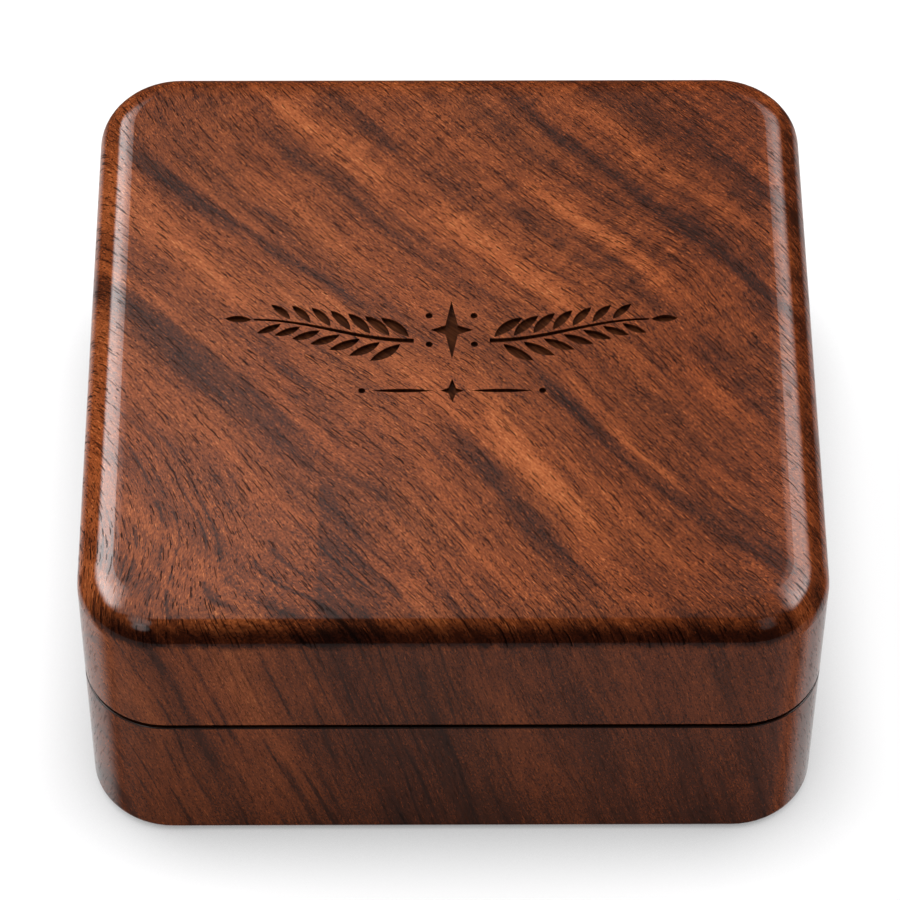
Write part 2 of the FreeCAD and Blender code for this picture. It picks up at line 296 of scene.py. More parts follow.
def timber(name, lacquer=True, tone_shift=0.0, engraving=False):
    m, g, bsdf = new_material(name)
    p = g.object_mm()
    x, y, z = g.xyz(p)
    zz = g.sub(z, TOP_Z)
    layer0 = g.linear((x, y, zz), 0.731, 0.682, 0.19)
    along = g.linear((x, y, zz), 0.682, -0.731, -0.05)
    third = g.linear((x, y, zz), -0.13, -0.13, 0.98)

    # Bent layers, and the grain's slope on the top face.
    swells, slope_x, slope_y = None, 0.731, 0.682
    for amp, cx, cy, r in SWELLS:
        dx, dy = g.sub(x, cx), g.sub(y, cy)
        d2 = g.mad(dx, dx, g.mul(dy, dy))
        e = g.mul(g.math("EXPONENT", g.mul(d2, -0.5 / (r * r))), amp)
        swells = e if swells is None else g.add(swells, e)
        k = g.mul(e, -1.0 / (r * r))
        slope_x, slope_y = g.mad(k, dx, slope_x), g.mad(k, dy, slope_y)
    broad = g.noise(g.vec(x, y, g.mul(z, 0.3)), 1 / 26.0, 1.0, 0.5)
    slow = g.noise(g.vec(g.mul(layer0, 0.11), g.mul(along, 0.032), g.mul(third, 0.032)), 1.0, 1.0, 0.55)
    feather = g.noise(g.vec(g.mul(layer0, 0.75), g.mul(along, 0.085), g.mul(third, 0.085)), 1.0, 2.0, 0.6)
    wander = g.total(g.mul(g.sub(broad, 0.5), 7.0), g.mul(g.sub(slow, 0.5), 3.2))
    layer = g.mad(wander, 0.7, layer0)
    top_half = g.step(z, TOP_Z - 5.5, TOP_Z - 2.5)
    edge = g.total(layer0, g.mul(wander, 0.55), g.mul(g.sub(feather, 0.5), g.mad(top_half, 2.2, 1.0)))

    # Flat coordinates of each face for the pores: x, y on the top and round-over, x, z on the front and back, y, z on the sides.
    # They are then turned, so that the first runs across the usual grain and the second along it.
    ragged = g.mad(g.sub(feather, 0.5), 2.0, z)
    on_top = g.math("GREATER_THAN", ragged, TOP_Z - 4.1)
    level = g.math("GREATER_THAN", g.math("ABSOLUTE", g.xyz(g.face_normal())[2]), 0.6)
    on_top = g.math("MAXIMUM", on_top, g.mul(level, g.math("LESS_THAN", z, TOP_Z - 6.0)))
    on_side = g.math("GREATER_THAN", g.math("ABSOLUTE", x), g.math("ABSOLUTE", y))
    wall_a = g.mad(on_side, g.sub(y, x), x)
    face_a = g.mad(on_top, g.sub(x, wall_a), wall_a)
    face_b = g.mad(on_top, g.sub(y, z), z)
    ux, uy = g.mad(on_top, 0.731 - 0.958, 0.958), g.mad(on_top, 0.682 - 0.287, 0.287)
    cross = g.mad(face_a, ux, g.mul(face_b, uy))
    run = g.sub(g.mul(face_b, ux), g.mul(face_a, uy))
    # The local grain's normal in the turned frame.
    length = g.math("SQRT", g.mad(slope_x, slope_x, g.mul(slope_y, slope_y)))
    gx, gy = g.math("DIVIDE", slope_x, length), g.math("DIVIDE", slope_y, length)
    turn_c = g.mad(on_top, g.sub(g.mad(gx, 0.731, g.mul(gy, 0.682)), 1.0), 1.0)
    turn_s = g.mul(on_top, g.sub(g.mul(gy, 0.731), g.mul(gx, 0.682)))
    fine_layer = g.mad(on_top, swells, layer)

    def streaks(table):
        out = None
        for mid, half, a, b, c, low, high, strength in table:
            t = g.sub(along, mid)
            d = g.sub(edge, g.mad(t, g.mad(t, c, b), a))
            s = g.mul(g.step(d, -low, 0.0), g.step(d, 0.0, high, 1.0, 0.0))
            w = g.step(g.math("ABSOLUTE", t), half * 0.55, half * 1.15, strength, 0.0)
            s = g.mul(s, w)
            out = s if out is None else g.add(out, s)
        return out

    dark, pale = streaks(STREAKS), streaks(PALE)

    # The faint straight tone break near the front left of the top.
    brk = g.mul(g.step(x, -18.4, -17.6), g.step(x, -17.0, -4.0, 1.0, 0.0))
    brk = g.mul(brk, g.mul(g.step(y, -22.0, -27.0), g.step(z, 42.5, 45.5)))
    dark = g.mad(brk, 0.30, dark)

    bands = g.noise(g.vec(g.mul(layer, 0.26), g.mul(along, 0.018), g.mul(third, 0.018)), 1.0, 2.0, 0.55)
    mottle = g.noise(g.vec(g.mul(layer, 0.36), g.mul(along, 0.075), g.mul(third, 0.05)), 1.0, 2.0, 0.6)
    curl = g.noise(g.vec(g.mul(layer, 0.16), g.mul(along, 0.62), g.mul(third, 0.40)), 1.0, 1.0, 0.6)
    curl_where = g.step(g.linear((x, y, zz), 0.55, 0.8, 0.0), 2.0, 22.0, 0.25, 1.0)
    fibre = g.noise(g.vec(g.mul(fine_layer, 2.6), g.mul(along, 0.17), g.mul(third, 0.17)), 1.0, 2.0, 0.7)
    fine = g.noise(g.vec(g.mul(fine_layer, 7.6), g.mul(along, 2.3), g.mul(third, 2.3)), 1.0, 1.0, 0.6)
    # Long thin growth lines, in patches, and most of all round the swells.
    growth = g.noise(g.vec(g.mul(fine_layer, 0.50), g.mul(along, 0.016), g.mul(third, 0.016)), 1.0, 1.0, 0.5)
    line = g.total(g.mul(fine_layer, 0.62), g.mul(growth, 1.9), g.mul(feather, 0.22))
    line = g.math("ABSOLUTE", g.sub(g.math("FRACT", line), 0.5))
    line = g.mul(g.mul(g.step(line, 0.17, 0.0), g.step(mottle, 0.62, 0.44)), g.step(swells, 1.0, 6.0, 0.10, 0.26))

    # Pores: dark spindles that follow the grain, long and thin ones and short ones, and pale flecks that are painted
    # glints.
    def dashes(wide, tall, width, length, shift, keep):
        """Spindle marks, one to a cell of wide x tall mm: half width and half length in mm, keep is the share of the cells that have one."""
        ca, cb = g.mad(cross, 1.0 / wide, shift), g.mad(run, 1.0 / tall, shift * 0.7)
        da, db, (r0, r1, r2) = g.cells(ca, cb, 1.0)
        da, db = g.mul(da, wide), g.mul(db, tall)
        across = g.mad(da, turn_c, g.mul(db, turn_s))
        down = g.sub(g.mul(db, turn_c), g.mul(da, turn_s))
        across = g.mad(g.mul(down, down), g.fit(r2, 0.0, 1.0, -0.10, 0.10), across)
        u = g.math("DIVIDE", across, g.fit(r1, 0.0, 1.0, width * 0.65, width * 1.35))
        v = g.math("DIVIDE", down, g.fit(r0, 0.0, 1.0, length * 0.35, length * 1.25))
        d = g.mad(u, u, g.mul(v, v))
        mark = g.step(d, 1.25, 0.45)
        return g.mul(mark, g.math("LESS_THAN", g.math("FRACT", g.mul(g.total(r0, r1, r2), 7.3)), keep)), r2

    crowd = g.fit(mottle, 0.36, 0.62, 1.0, 0.45)
    big, depth = dashes(0.90, 3.5, 0.084, 1.85, 3.0, crowd)
    big2, depth2 = dashes(1.00, 1.7, 0.088, 0.80, 57.0, g.mul(crowd, 0.62))
    small, _ = dashes(0.56, 0.85, 0.052, 0.30, 23.0, 0.60)
    # Painted glints: pale flecks in the colour, standing in for small glints in the lacquer.
    painted_glint_flecks, _ = dashes(0.80, 1.10, 0.060, 0.44, 91.0, 0.55)
    pores = g.math("MAXIMUM", g.mul(big, g.mad(depth, 0.35, 0.65)), g.mul(big2, g.mad(depth2, 0.35, 0.65)))
    pores = g.mul(pores, g.mad(on_top, 0.50, 0.50))

    # Painted shade and light, added to the tone: the walls are painted darker than the top, most of all at the front,
    # the back and right of the top are darker, and it is darker towards the bottom. The walls' figure is also calmer
    # than the top's.
    wall = g.step(z, 45.2, 42.4)
    front = g.total(-0.135, g.step(x, -30.0, -11.0, 0.13, 0.0), g.step(x, 8.0, 26.0, 0.0, 0.05))
    painted_light_and_shade = g.total(
        g.mul(g.mul(wall, g.step(y, -44.0, -49.0)), front),
        g.mul(g.mul(g.step(x, 2.0, 44.0), g.mad(wall, -0.8, 1.0)), -0.09),
        g.mul(g.step(y, 0.0, 46.0), -0.05),
        g.step(z, 12.0, 2.0, 0.0, -0.04),
        # Painted light: bands on the left and right round-overs and at the top of the outer walls, where the side
        # lights fall, are painted lighter.
        g.mul(g.mul(g.step(x, -43.8, -46.0), g.step(z, 40.0, 44.0)), 0.07),
        g.mul(g.mul(g.step(x, -49.2, -49.7), g.step(z, 40.0, 44.0)), 0.10),
        g.mul(g.mul(g.step(x, 43.4, 45.2), g.step(x, 47.9, 46.8)), 0.14),
        g.mul(g.mul(g.step(x, 46.9, 47.9), g.step(x, 49.2, 48.6)), -0.03),
        g.mul(g.mul(g.step(x, 48.9, 49.6), g.step(z, 40.0, 44.0)), 0.15),
    )
    calm = g.mad(top_half, 0.28, 0.72)
    figure = g.total(
        g.mul(g.sub(bands, 0.5), 0.40),
        g.mul(g.sub(mottle, 0.5), 0.27),
        g.mul(line, -1.0),
        0.02,
        g.mul(g.mul(g.sub(curl, 0.5), curl_where), 0.32),
        g.mul(g.sub(fibre, 0.5), 0.42),
        g.mul(g.sub(fine, 0.5), 0.66),
        g.mul(small, -0.34),
        g.mul(painted_glint_flecks, 0.26),
        g.mul(pale, 0.80),
        g.mul(dark, -0.58),
    )
    tone = g.total(0.364 + tone_shift, painted_light_and_shade, g.mul(figure, calm))
    colour = g.ramp(g.mad(tone, 1.0 / 1.2, 0.2 / 1.2), (
        (0.000, (0.013, 0.0038, 0.0019)),
        (0.167, (0.025, 0.0070, 0.0031)),
        (0.333, (0.060, 0.0142, 0.0048)),
        (0.500, (0.138, 0.0328, 0.0090)),
        (0.667, (0.244, 0.0640, 0.0175)),
        (0.833, (0.348, 0.1080, 0.0320)),
        (1.000, (0.445, 0.1700, 0.0600)),
    ))
    # Redder towards the right and in patches.
    red = g.noise(g.vec(g.mul(layer, 0.10), g.mul(along, 0.05), g.mul(third, 0.05)), 1.0, 1.0, 0.5)
    red = g.add(g.step(x, 8.0, 44.0, 0.0, 0.5), g.fit(red, 0.3, 0.7, 0.0, 0.5))
    colour = g.mix(g.mul(red, 0.5), colour, g.mix(1.0, colour, (1.06, 0.84, 0.72), "MULTIPLY"))
    colour = g.mix(g.mul(pores, 0.95), colour, (0.010, 0.0034, 0.0020))

    # Distance out from the rounded outline's centres: 6.4 where the round-over starts, 11.4 on the walls.
    cx = g.math("MAXIMUM", g.sub(g.math("ABSOLUTE", x), 38.6), 0.0)
    cy = g.math("MAXIMUM", g.sub(g.math("ABSOLUTE", y), 38.6), 0.0)
    out = g.math("SQRT", g.mad(cx, cx, g.mul(cy, cy)))
    # Painted shade: the steep front round-over, where the end grain runs out, is painted nearly black, standing in for
    # the shade and dark reflection that fall there.
    facing = g.math("DIVIDE", g.sub(g.mul(y, -1.0), 38.6), g.math("MAXIMUM", out, 1.0))
    front_round_over_shade = g.mul(g.step(ragged, 47.4, 45.1), g.step(ragged, 42.7, 44.1))
    front_round_over_shade = g.mul(front_round_over_shade, g.step(facing, g.step(x, -20.0, 20.0, 0.30, 0.62), g.step(x, -20.0, 20.0, 0.85, 0.97)))
    colour = g.mix(g.mul(front_round_over_shade, 0.94), colour, g.mix(1.0, colour, (0.14, 0.095, 0.085), "MULTIPLY"))
    # Painted shade in the seam's gap: the edges along the seam are painted nearly black.
    seam_painted_shade = g.step(out, 10.55, 10.8)
    seam_painted_shade = g.mul(seam_painted_shade, g.mul(g.step(z, 24.62, 24.76), g.step(z, 25.68, 25.56)))
    colour = g.mix(g.mul(seam_painted_shade, 0.9), colour, (0.0040, 0.0018, 0.0012))

    if engraving:
        cut = g.mul(g.step(z, TOP_Z - 0.04, TOP_Z - 0.20), g.step(z, TOP_Z - 0.9, TOP_Z - 0.75))
        inside = g.mul(g.step(g.math("ABSOLUTE", x), 33.0, 32.5), g.step(g.math("ABSOLUTE", y), 14.0, 13.5))
        cut = g.mul(cut, inside)
        burnt = g.ramp(g.total(0.45, g.mul(g.sub(fibre, 0.5), 1.6), g.mul(g.sub(mottle, 0.5), 0.8)), (
            (0.0, (0.010, 0.003, 0.0015)), (0.5, (0.036, 0.0105, 0.0040)), (1.0, (0.085, 0.026, 0.0090)),
        ))
        colour = g.mix(cut, colour, burnt)
    g.links.new(colour, bsdf.inputs["Base Color"])

    rough = g.total(0.50, g.mul(g.sub(fibre, 0.5), 0.18), g.mul(pores, 0.2))
    g.links.new(rough, bsdf.inputs["Roughness"])
    # Sanding has eased the start of the round-over, most of all on the sides.
    eased = g.mul(g.step(out, 5.3, 7.5), g.mul(g.step(facing, 0.5, 0.9, 1.0, 0.0), g.step(y, 22.0, -36.0, 0.02, 0.085)))
    relief = g.bump(g.sub(g.mul(g.sub(fibre, 0.5), 0.007), g.mul(eased, g.step(z, 44.0, 45.5))), 0.001, 1.0)
    g.links.new(relief, bsdf.inputs["Normal"])
    if lacquer:
        # The lacquer has sunk into the pores. The pocket, the slide's undercuts and the burnt engraving are bare.
        bare = g.mul(g.step(g.math("ABSOLUTE", x), 40.4, 40.0), g.mul(g.step(y, -48.6, -48.0), g.step(y, 49.7, 49.4)))
        bare = g.mul(bare, g.mul(g.step(z, 1.6, 2.4), g.step(z, 44.0, 43.6) if engraving else g.step(z, 24.80, 24.72)))
        gloss = g.mul(g.mad(pores, -0.75, 1.0), g.mad(bare, -0.95, 1.0))
        if engraving:
            gloss = g.mul(gloss, g.mad(cut, -0.9, 1.0))
        g.links.new(gloss, bsdf.inputs["Coat Weight"])
        bsdf.inputs["Coat Roughness"].default_value = 0.07
        bsdf.inputs["Coat IOR"].default_value = 1.5
        g.links.new(relief, bsdf.inputs["Coat Normal"])
        bsdf.inputs["Specular IOR Level"].default_value = 0.0
    else:
        bsdf.inputs["Specular IOR Level"].default_value = 0.3
    return m


# ---------------------------------------------------------------- metals, card, cloth
def brass():
    m, g, bsdf = new_material("brass")
    p = g.object_mm()
    blotch = g.noise(p, 0.8, 3.0, 0.6)
    turned = g.noise(g.vec(g.mul(g.xyz(p)[0], 2.0), g.mul(g.xyz(p)[1], 2.0), g.mul(g.xyz(p)[2], 14.0)), 1.0, 2.0, 0.5)
    colour = g.ramp(blotch, ((0.3, (0.50, 0.33, 0.12)), (0.7, (0.80, 0.60, 0.28))))
    g.links.new(colour, bsdf.inputs["Base Color"])
    bsdf.inputs["Metallic"].default_value = 1.0
    g.links.new(g.mad(turned, 0.2, 0.2), bsdf.inputs["Roughness"])
    g.links.new(g.bump(g.mul(turned, 0.01), 0.001, 1.0), bsdf.inputs["Normal"])
    return m


def nickel():
    m, g, bsdf = new_material("nickel")
    p = g.object_mm()
    fine = g.noise(p, 3.5, 3.0, 0.6)
    colour = g.ramp(g.noise(p, 0.6, 2.0, 0.5), ((0.3, (0.36, 0.35, 0.335)), (0.7, (0.46, 0.455, 0.44))))
    g.links.new(colour, bsdf.inputs["Base Color"])
    bsdf.inputs["Metallic"].default_value = 1.0
    g.links.new(g.mad(fine, 0.18, 0.14), bsdf.inputs["Roughness"])
    g.links.new(g.bump(g.mul(fine, 0.004), 0.001, 1.0), bsdf.inputs["Normal"])
    return m


def card():
    m, g, bsdf = new_material("card")
    p = g.object_mm()
    pulp = g.noise(p, 1.6, 4.0, 0.7)
    fleck = g.voronoi(p, 1.1, 1.0)
    spot = g.step(fleck.outputs["Distance"], 0.10, 0.2, 1.0, 0.0)
    colour = g.ramp(pulp, ((0.3, srgb(150, 143, 133)), (0.7, srgb(184, 177, 166))))
    colour = g.mix(g.mul(spot, 0.5), colour, srgb(110, 102, 94))
    g.links.new(colour, bsdf.inputs["Base Color"])
    bsdf.inputs["Roughness"].default_value = 0.85
    g.links.new(g.bump(g.mul(pulp, 0.03), 0.001, 1.0), bsdf.inputs["Normal"])
    return m


def velvet(name, dark, light, sheen_tint):
    m, g, bsdf = new_material(name)
    p = g.object_mm()
    pile = g.noise(p, 5.5, 3.0, 0.7)
    brushed = g.noise(g.vec(g.mul(g.xyz(p)[0], 0.05), g.mul(g.xyz(p)[1], 0.13), g.mul(g.xyz(p)[2], 0.13)), 1.0, 2.0, 0.5)
    nap = g.noise(p, 1.3, 2.0, 0.6)
    t = g.total(g.mul(brushed, 0.34), g.mul(pile, 0.50), g.mul(nap, 0.18), -0.02)
    colour = g.ramp(t, ((0.25, dark), (0.75, light)))
    g.links.new(colour, bsdf.inputs["Base Color"])
    bsdf.inputs["Roughness"].default_value = 0.95
    bsdf.inputs["Specular IOR Level"].default_value = 0.15
    bsdf.inputs["Sheen Weight"].default_value = 0.85
    bsdf.inputs["Sheen Roughness"].default_value = 0.35
    bsdf.inputs["Sheen Tint"].default_value = (*sheen_tint, 1.0)
    g.links.new(g.bump(g.add(g.mul(pile, 0.07), g.mul(nap, 0.08)), 0.001, 1.0), bsdf.inputs["Normal"])
    return m


def felt():
    m, g, bsdf = new_material("felt")
    p = g.object_mm()
    wool = g.noise(p, 2.2, 5.0, 0.75, 0.8)
    hair = g.noise(g.vec(g.mul(g.xyz(p)[0], 7.0), g.mul(g.xyz(p)[1], 2.0), g.mul(g.xyz(p)[2], 4.0)), 1.0, 3.0, 0.7, 1.2)
    colour = g.ramp(g.total(g.mul(wool, 0.6), g.mul(hair, 0.4)), ((0.3, srgb(24, 22, 21)), (0.7, srgb(62, 57, 54))))
    g.links.new(colour, bsdf.inputs["Base Color"])
    bsdf.inputs["Roughness"].default_value = 1.0
    bsdf.inputs["Specular IOR Level"].default_value = 0.1
    bsdf.inputs["Sheen Weight"].default_value = 0.3
    bsdf.inputs["Sheen Roughness"].default_value = 0.6
    g.links.new(g.bump(g.add(g.mul(wool, 0.12), g.mul(hair, 0.06)), 0.001, 1.0), bsdf.inputs["Normal"])
    return m


def dress(node, material, smooth=False):
    """A CAD node keeps its mesh and gets its own material."""
    o = NODES[node]
    if not o.material_slots:
        o.data.materials.append(material)
    for s in o.material_slots:
        s.link = "DATA"
        s.material = material
    if smooth:
        weld = o.modifiers.new("join_faces", "WELD")
        weld.merge_threshold = 2e-7
        soft = o.modifiers.new("even_shading", "WEIGHTED_NORMAL")
        soft.keep_sharp = True
        soft.weight = 100


dress("lid_body", timber("lid_timber", engraving=True))
dress("base_body", timber("base_timber", tone_shift=-0.06))
runner_wood = timber("runner_timber", lacquer=False, tone_shift=-0.14)
dress("left_runner", runner_wood)
dress("right_runner", runner_wood)
BRASS, NICKEL, CARD = brass(), nickel(), card()
dress("runner_screws", BRASS)
dress("stop_pins", BRASS)
dress("base_magnets", NICKEL)
dress("lid_magnets", NICKEL)
dress("floor_card", CARD)
dress("lid_card", CARD)
VELVET = velvet("velvet", srgb(96, 80, 62), srgb(172, 152, 124), (0.9, 0.82, 0.7))
FELT = felt()


# ---------------------------------------------------------------- velvet and felt pieces
SIM = 10.0            # the cloth solver works at this many times the real size


def outline(w, d, r, inset, count, pull=0.0):
    """Points in mm round a rectangle w by d with corners of radius r, moved in by inset; pull draws the middle of each side in."""
    hx, hy = w / 2 - inset, d / 2 - inset
    r = max(r - inset, 0.05)
    runs = [2 * (hx - r), math.pi / 2 * r, 2 * (hy - r), math.pi / 2 * r] * 2
    whole = sum(runs)
    # Starts at the middle of the back side and goes round anticlockwise as seen from above.
    points = []
    for i in range(count):
        s = (whole * i / count + runs[0] / 2) % whole
        k = 0
        while s > runs[k]:
            s -= runs[k]
            k += 1
        turn, corner = divmod(k, 2)
        if corner:
            a = s / r
            x, y = -(hx if turn % 2 == 0 else hy) + r, (hy if turn % 2 == 0 else hx) - r
            px, py = x - r * math.sin(a), y + r * math.cos(a)
        else:
            half = (hx if turn % 2 == 0 else hy) - r
            px, py = half - s, (hy if turn % 2 == 0 else hx)
        for _ in range(turn):
            px, py = -py, px
        reach_x, reach_y = 1 - min(1.0, abs(px) / hx) ** 2, 1 - min(1.0, abs(py) / hy) ** 2
        px -= math.copysign(pull * reach_y * (abs(px) / hx) ** 6, px)
        py -= math.copysign(pull * reach_x * (abs(py) / hy) ** 6, py)
        points.append((px, py))
    return points


def stacked(name, rings, scale):
    """Closed mesh from rings of equal count, capped at both ends. Points in mm."""
    bm = bmesh.new()
    rows = [[bm.verts.new((x * scale, y * scale, z * scale)) for x, y, z in ring] for ring in rings]
    count = len(rings[0])
    for a, b in zip(rows, rows[1:]):
        for i in range(count):
            bm.faces.new((a[i], a[(i + 1) % count], b[(i + 1) % count], b[i]))
    bm.faces.new(list(reversed(rows[0])))
    bm.faces.new(rows[-1])
    me = bpy.data.meshes.new(name)
    bm.to_mesh(me)
    bm.free()
    o = bpy.data.objects.new(name, me)
    scene.collection.objects.link(o)
    return o


def baked(o):
    """The object's mesh with its modifiers applied, as a new mesh."""
    graph = bpy.context.evaluated_depsgraph_get()
    return bpy.data.meshes.new_from_object(o.evaluated_get(graph), depsgraph=graph)


def coordinates(me):
    flat = [0.0] * (3 * len(me.vertices))
    me.vertices.foreach_get("co", flat)
    return [Vector(flat[i:i + 3]) for i in range(0, len(flat), 3)]


def store(me, points):
    me.vertices.foreach_set("co", [c for p in points for c in p])
    me.update()


def pad(name, node, w, d, r, z0, z1, edge, swell, side):
    """A thin pad in velvet, glued down on one face and crowned on the other. side is 1 with the crown up, -1 with it down."""
    thick = z1 - z0 - swell
    rings = [[(x, y, 0.0) for x, y in outline(w, d, r, 0.35, 200, 0.5)]]
    rings.append([(x, y, 0.35) for x, y in outline(w, d, r, 0.12, 200, 0.5)])
    steps = 6
    for i in range(steps + 1):
        a = math.pi / 2 * i / steps
        inset = 0.12 + edge * (1 - math.cos(a))
        rings.append([(x, y, thick - edge + edge * math.sin(a)) for x, y in outline(w, d, r, inset, 200, 0.5)])
    o = stacked(name + "_start", rings, SIM / 1000)
    remesh = o.modifiers.new("even", "REMESH")
    remesh.mode = "VOXEL"
    remesh.voxel_size = 0.0082
    me = baked(o)
    bpy.data.objects.remove(o)
    o = bpy.data.objects.new(name, me)
    scene.collection.objects.link(o)
    rest = coordinates(me)
    top = thick * SIM / 1000
    glued = o.vertex_groups.new(name="glued")
    for v in me.vertices:
        w_pin = 1.0 if v.co.z < 0.25 * top else 0.0
        if w_pin:
            glued.add([v.index], w_pin, "REPLACE")
    cloth = o.modifiers.new("stuffing", "CLOTH")
    cloth.settings.quality = 6
    cloth.settings.mass = 0.3
    cloth.settings.tension_stiffness = 18
    cloth.settings.compression_stiffness = 18
    cloth.settings.bending_stiffness = 0.6
    cloth.settings.use_pressure = True
    cloth.settings.uniform_pressure_force = 4.0
    cloth.settings.effector_weights.gravity = 0.0
    cloth.settings.vertex_group_mass = "glued"
    cloth.collision_settings.use_collision = False
    cloth.collision_settings.use_self_collision = False
    for f in range(1, 21):
        scene.frame_set(f)
    blown = baked(o)
    shape = coordinates(blown)
    o.modifiers.remove(cloth)
    o.vertex_groups.clear()
    bpy.data.meshes.remove(blown)
    scene.frame_set(1)
    most = swell * SIM / 1000
    moved = []
    for p, q in zip(rest, shape):
        step = q - p
        far = step.length
        if far > 1e-9:
            step *= most * math.tanh(far / most) / far
        # Sideways it may swell only a little, to stay off the lining.
        step.x *= 0.3
        step.y *= 0.3
        moved.append(p + step)
    store(me, moved)
    finer = o.modifiers.new("finer", "SUBSURF")
    finer.levels = finer.render_levels = 1
    smooth = baked(o)
    o.modifiers.clear()
    o.data = smooth
    bpy.data.meshes.remove(me)

    # Down to real size, with soft dents in the foam and three small tucks at each corner where the velvet is folded round.
    points = []
    hx, hy = w / 2 - r, d / 2 - r
    for p in coordinates(smooth):
        q = p / SIM
        mx, my, mz = q.x * 1000, q.y * 1000, q.z * 1000
        up = max(0.0, min(1.0, mz / (z1 - z0)))
        dent = noise.noise(Vector((mx * 0.07, my * 0.07, 3.1 * side))) + 0.5 * noise.noise(Vector((mx * 0.17, my * 0.17, 7.7 * side)))
        mz += 0.10 * dent * up ** 2
        cx, cy = abs(mx) - hx, abs(my) - hy
        if cx > 0 and cy > 0:
            far, a = math.hypot(cx, cy), math.degrees(math.atan2(cy, cx))
            tuck = sum(math.exp(-((a - at) / 5.5) ** 2) for at in (20, 45, 70))
            tuck *= min(1.0, max(0.0, (far - r * 0.35) / (r * 0.5)))
            pull_in = 0.22 * tuck * up ** 0.5
            mx -= math.copysign(pull_in * cx / far, mx)
            my -= math.copysign(pull_in * cy / far, my)
            mz -= 0.12 * tuck * up ** 2
        z = z0 + mz if side > 0 else z1 - mz
        points.append(Vector((mx, my, z)) / 1000)
    store(smooth, points)
    if side < 0:
        smooth.flip_normals()
    smooth.shade_smooth()
    finish_soft(o, node, VELVET)
    return o


def finish_soft(o, node, material):
    o.data.name = o.name
    o.data.materials.clear()
    o.data.materials.append(material)
    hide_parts(node)
    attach(o, "lid" if node == "lid_pad" else "base")


def lining():
    """Velvet over a thin card band, bent round the pocket's walls, its two ends meeting at the middle of the back."""
    low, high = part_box("wall_lining")
    z0, z1 = low[2] * 1000, high[2] * 1000
    wide, deep = (high[0] - low[0]) * 1000, (high[1] - low[1]) * 1000
    r, thick, count = 6.25, 1.2, 460
    # Cross section: (share of the thickness from the wall side, height). The velvet rolls over the card's top edge.
    section = [(0.06, z0 + 0.15), (0.0, z0 + 0.6)]
    section += [(0.0, z0 + 0.6 + (z1 - 1.2 - z0) * k / 6) for k in range(1, 7)]
    section += [(0.5 - 0.5 * math.cos(math.pi * k / 8), z1 - 0.6 + 0.6 * math.sin(math.pi * k / 8)) for k in range(1, 8)]
    section += [(1.0, z1 - 0.6 - (z1 - 1.2 - z0) * k / 14) for k in range(0, 15)]
    section += [(0.94, z0 + 0.15), (0.5, z0)]
    bm = bmesh.new()
    rows = []
    stations = [outline(wide, deep, r, t, count + 1) for t in (0.0, thick)]
    ends = 5
    for i in range(count + 1):
        # Walks from one end of the band to the other; the last few stations close up to round the ends off.
        k = min(i, count - i)
        (ox, oy), (nx, ny) = stations[0][i], stations[1][i]
        close = 0.30 * (1 - math.sqrt(max(0.0, 1 - (1 - min(k, ends) / ends) ** 2)))
        row = []
        for share, z in section:
            s = 0.5 + (share - 0.5) * (1 - 0.8 * close / 0.30)
            s -= 0.04 * noise.noise(Vector((ox * 0.12, oy * 0.12, z * 0.2))) * (share > 0.6)
            # The velvet stands off the card a little along its upper edge.
            s += 0.05 * math.exp(-((z - z1 + 2.2) / 1.4) ** 2) * (share > 0.9)
            zz = z - 0.05 * noise.noise(Vector((ox * 0.06, oy * 0.06, 5.0))) * max(0.0, (z - z0) / (z1 - z0)) - 0.05 * (share > 0)
            row.append(bm.verts.new(Vector((ox + (nx - ox) * s, oy + (ny - oy) * s, zz)) / 1000))
        rows.append(row)
    n = len(section)
    for a, b in zip(rows, rows[1:]):
        for j in range(n):
            bm.faces.new((a[j], b[j], b[(j + 1) % n], a[(j + 1) % n]))
    bm.faces.new(rows[0])
    bm.faces.new(list(reversed(rows[-1])))
    bmesh.ops.recalc_face_normals(bm, faces=bm.faces)
    me = bpy.data.meshes.new("pocket_lining")
    bm.to_mesh(me)
    bm.free()
    me.shade_smooth()
    o = bpy.data.objects.new("pocket_lining", me)
    scene.collection.objects.link(o)
    finish_soft(o, "wall_lining", VELVET)
    return o


def foot():
    """Pressed felt under the base, its cut edge a little rounded and uneven."""
    low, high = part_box("underside_felt")
    w, t = (high[0] - low[0]) * 1000, (high[2] - low[2]) * 1000
    r, count = 7.0, 360
    profile = [(0.30, 0.0), (0.12, 0.07), (0.03, 0.22), (0.0, 0.45), (0.02, 0.75), (0.08, 1.0), (0.25, t - 0.03)]
    inner = [(0.30 + 45.0 * (k / 22) ** 1.0, 0.0) for k in range(22, 0, -1)]
    rings = []
    for inset, z in inner + profile:
        ring = []
        for x, y in outline(w, w, r, inset, count):
            rag = noise.noise(Vector((x * 1.1, y * 1.1, z * 2.0))) * 0.09 + noise.noise(Vector((x * 0.25, y * 0.25, 9.0))) * 0.06
            k = 1 - (0.06 + rag) / 45.5 if inset < 0.3 else 1.0
            lift = 0.0 if z > 0.3 else 0.045 * (0.5 + 0.5 * noise.noise(Vector((x * 0.4, y * 0.4, 2.0)))) * (inset > 0.3)
            ring.append((x * k, y * k, z + lift))
        rings.append(ring)
    o = stacked("felt_foot", rings, 1 / 1000)
    o.data.shade_smooth()
    finish_soft(o, "underside_felt", FELT)
    return o


pad("pocket_cushion", "floor_cushion", 69.2, 72.7, 4.7, 6.3, 9.8, 1.1, 0.75, 1)
pad("recess_pad", "lid_pad", 57.3, 72.3, 6.0, 35.05, 37.55, 0.8, 0.6, -1)
lining()
foot()


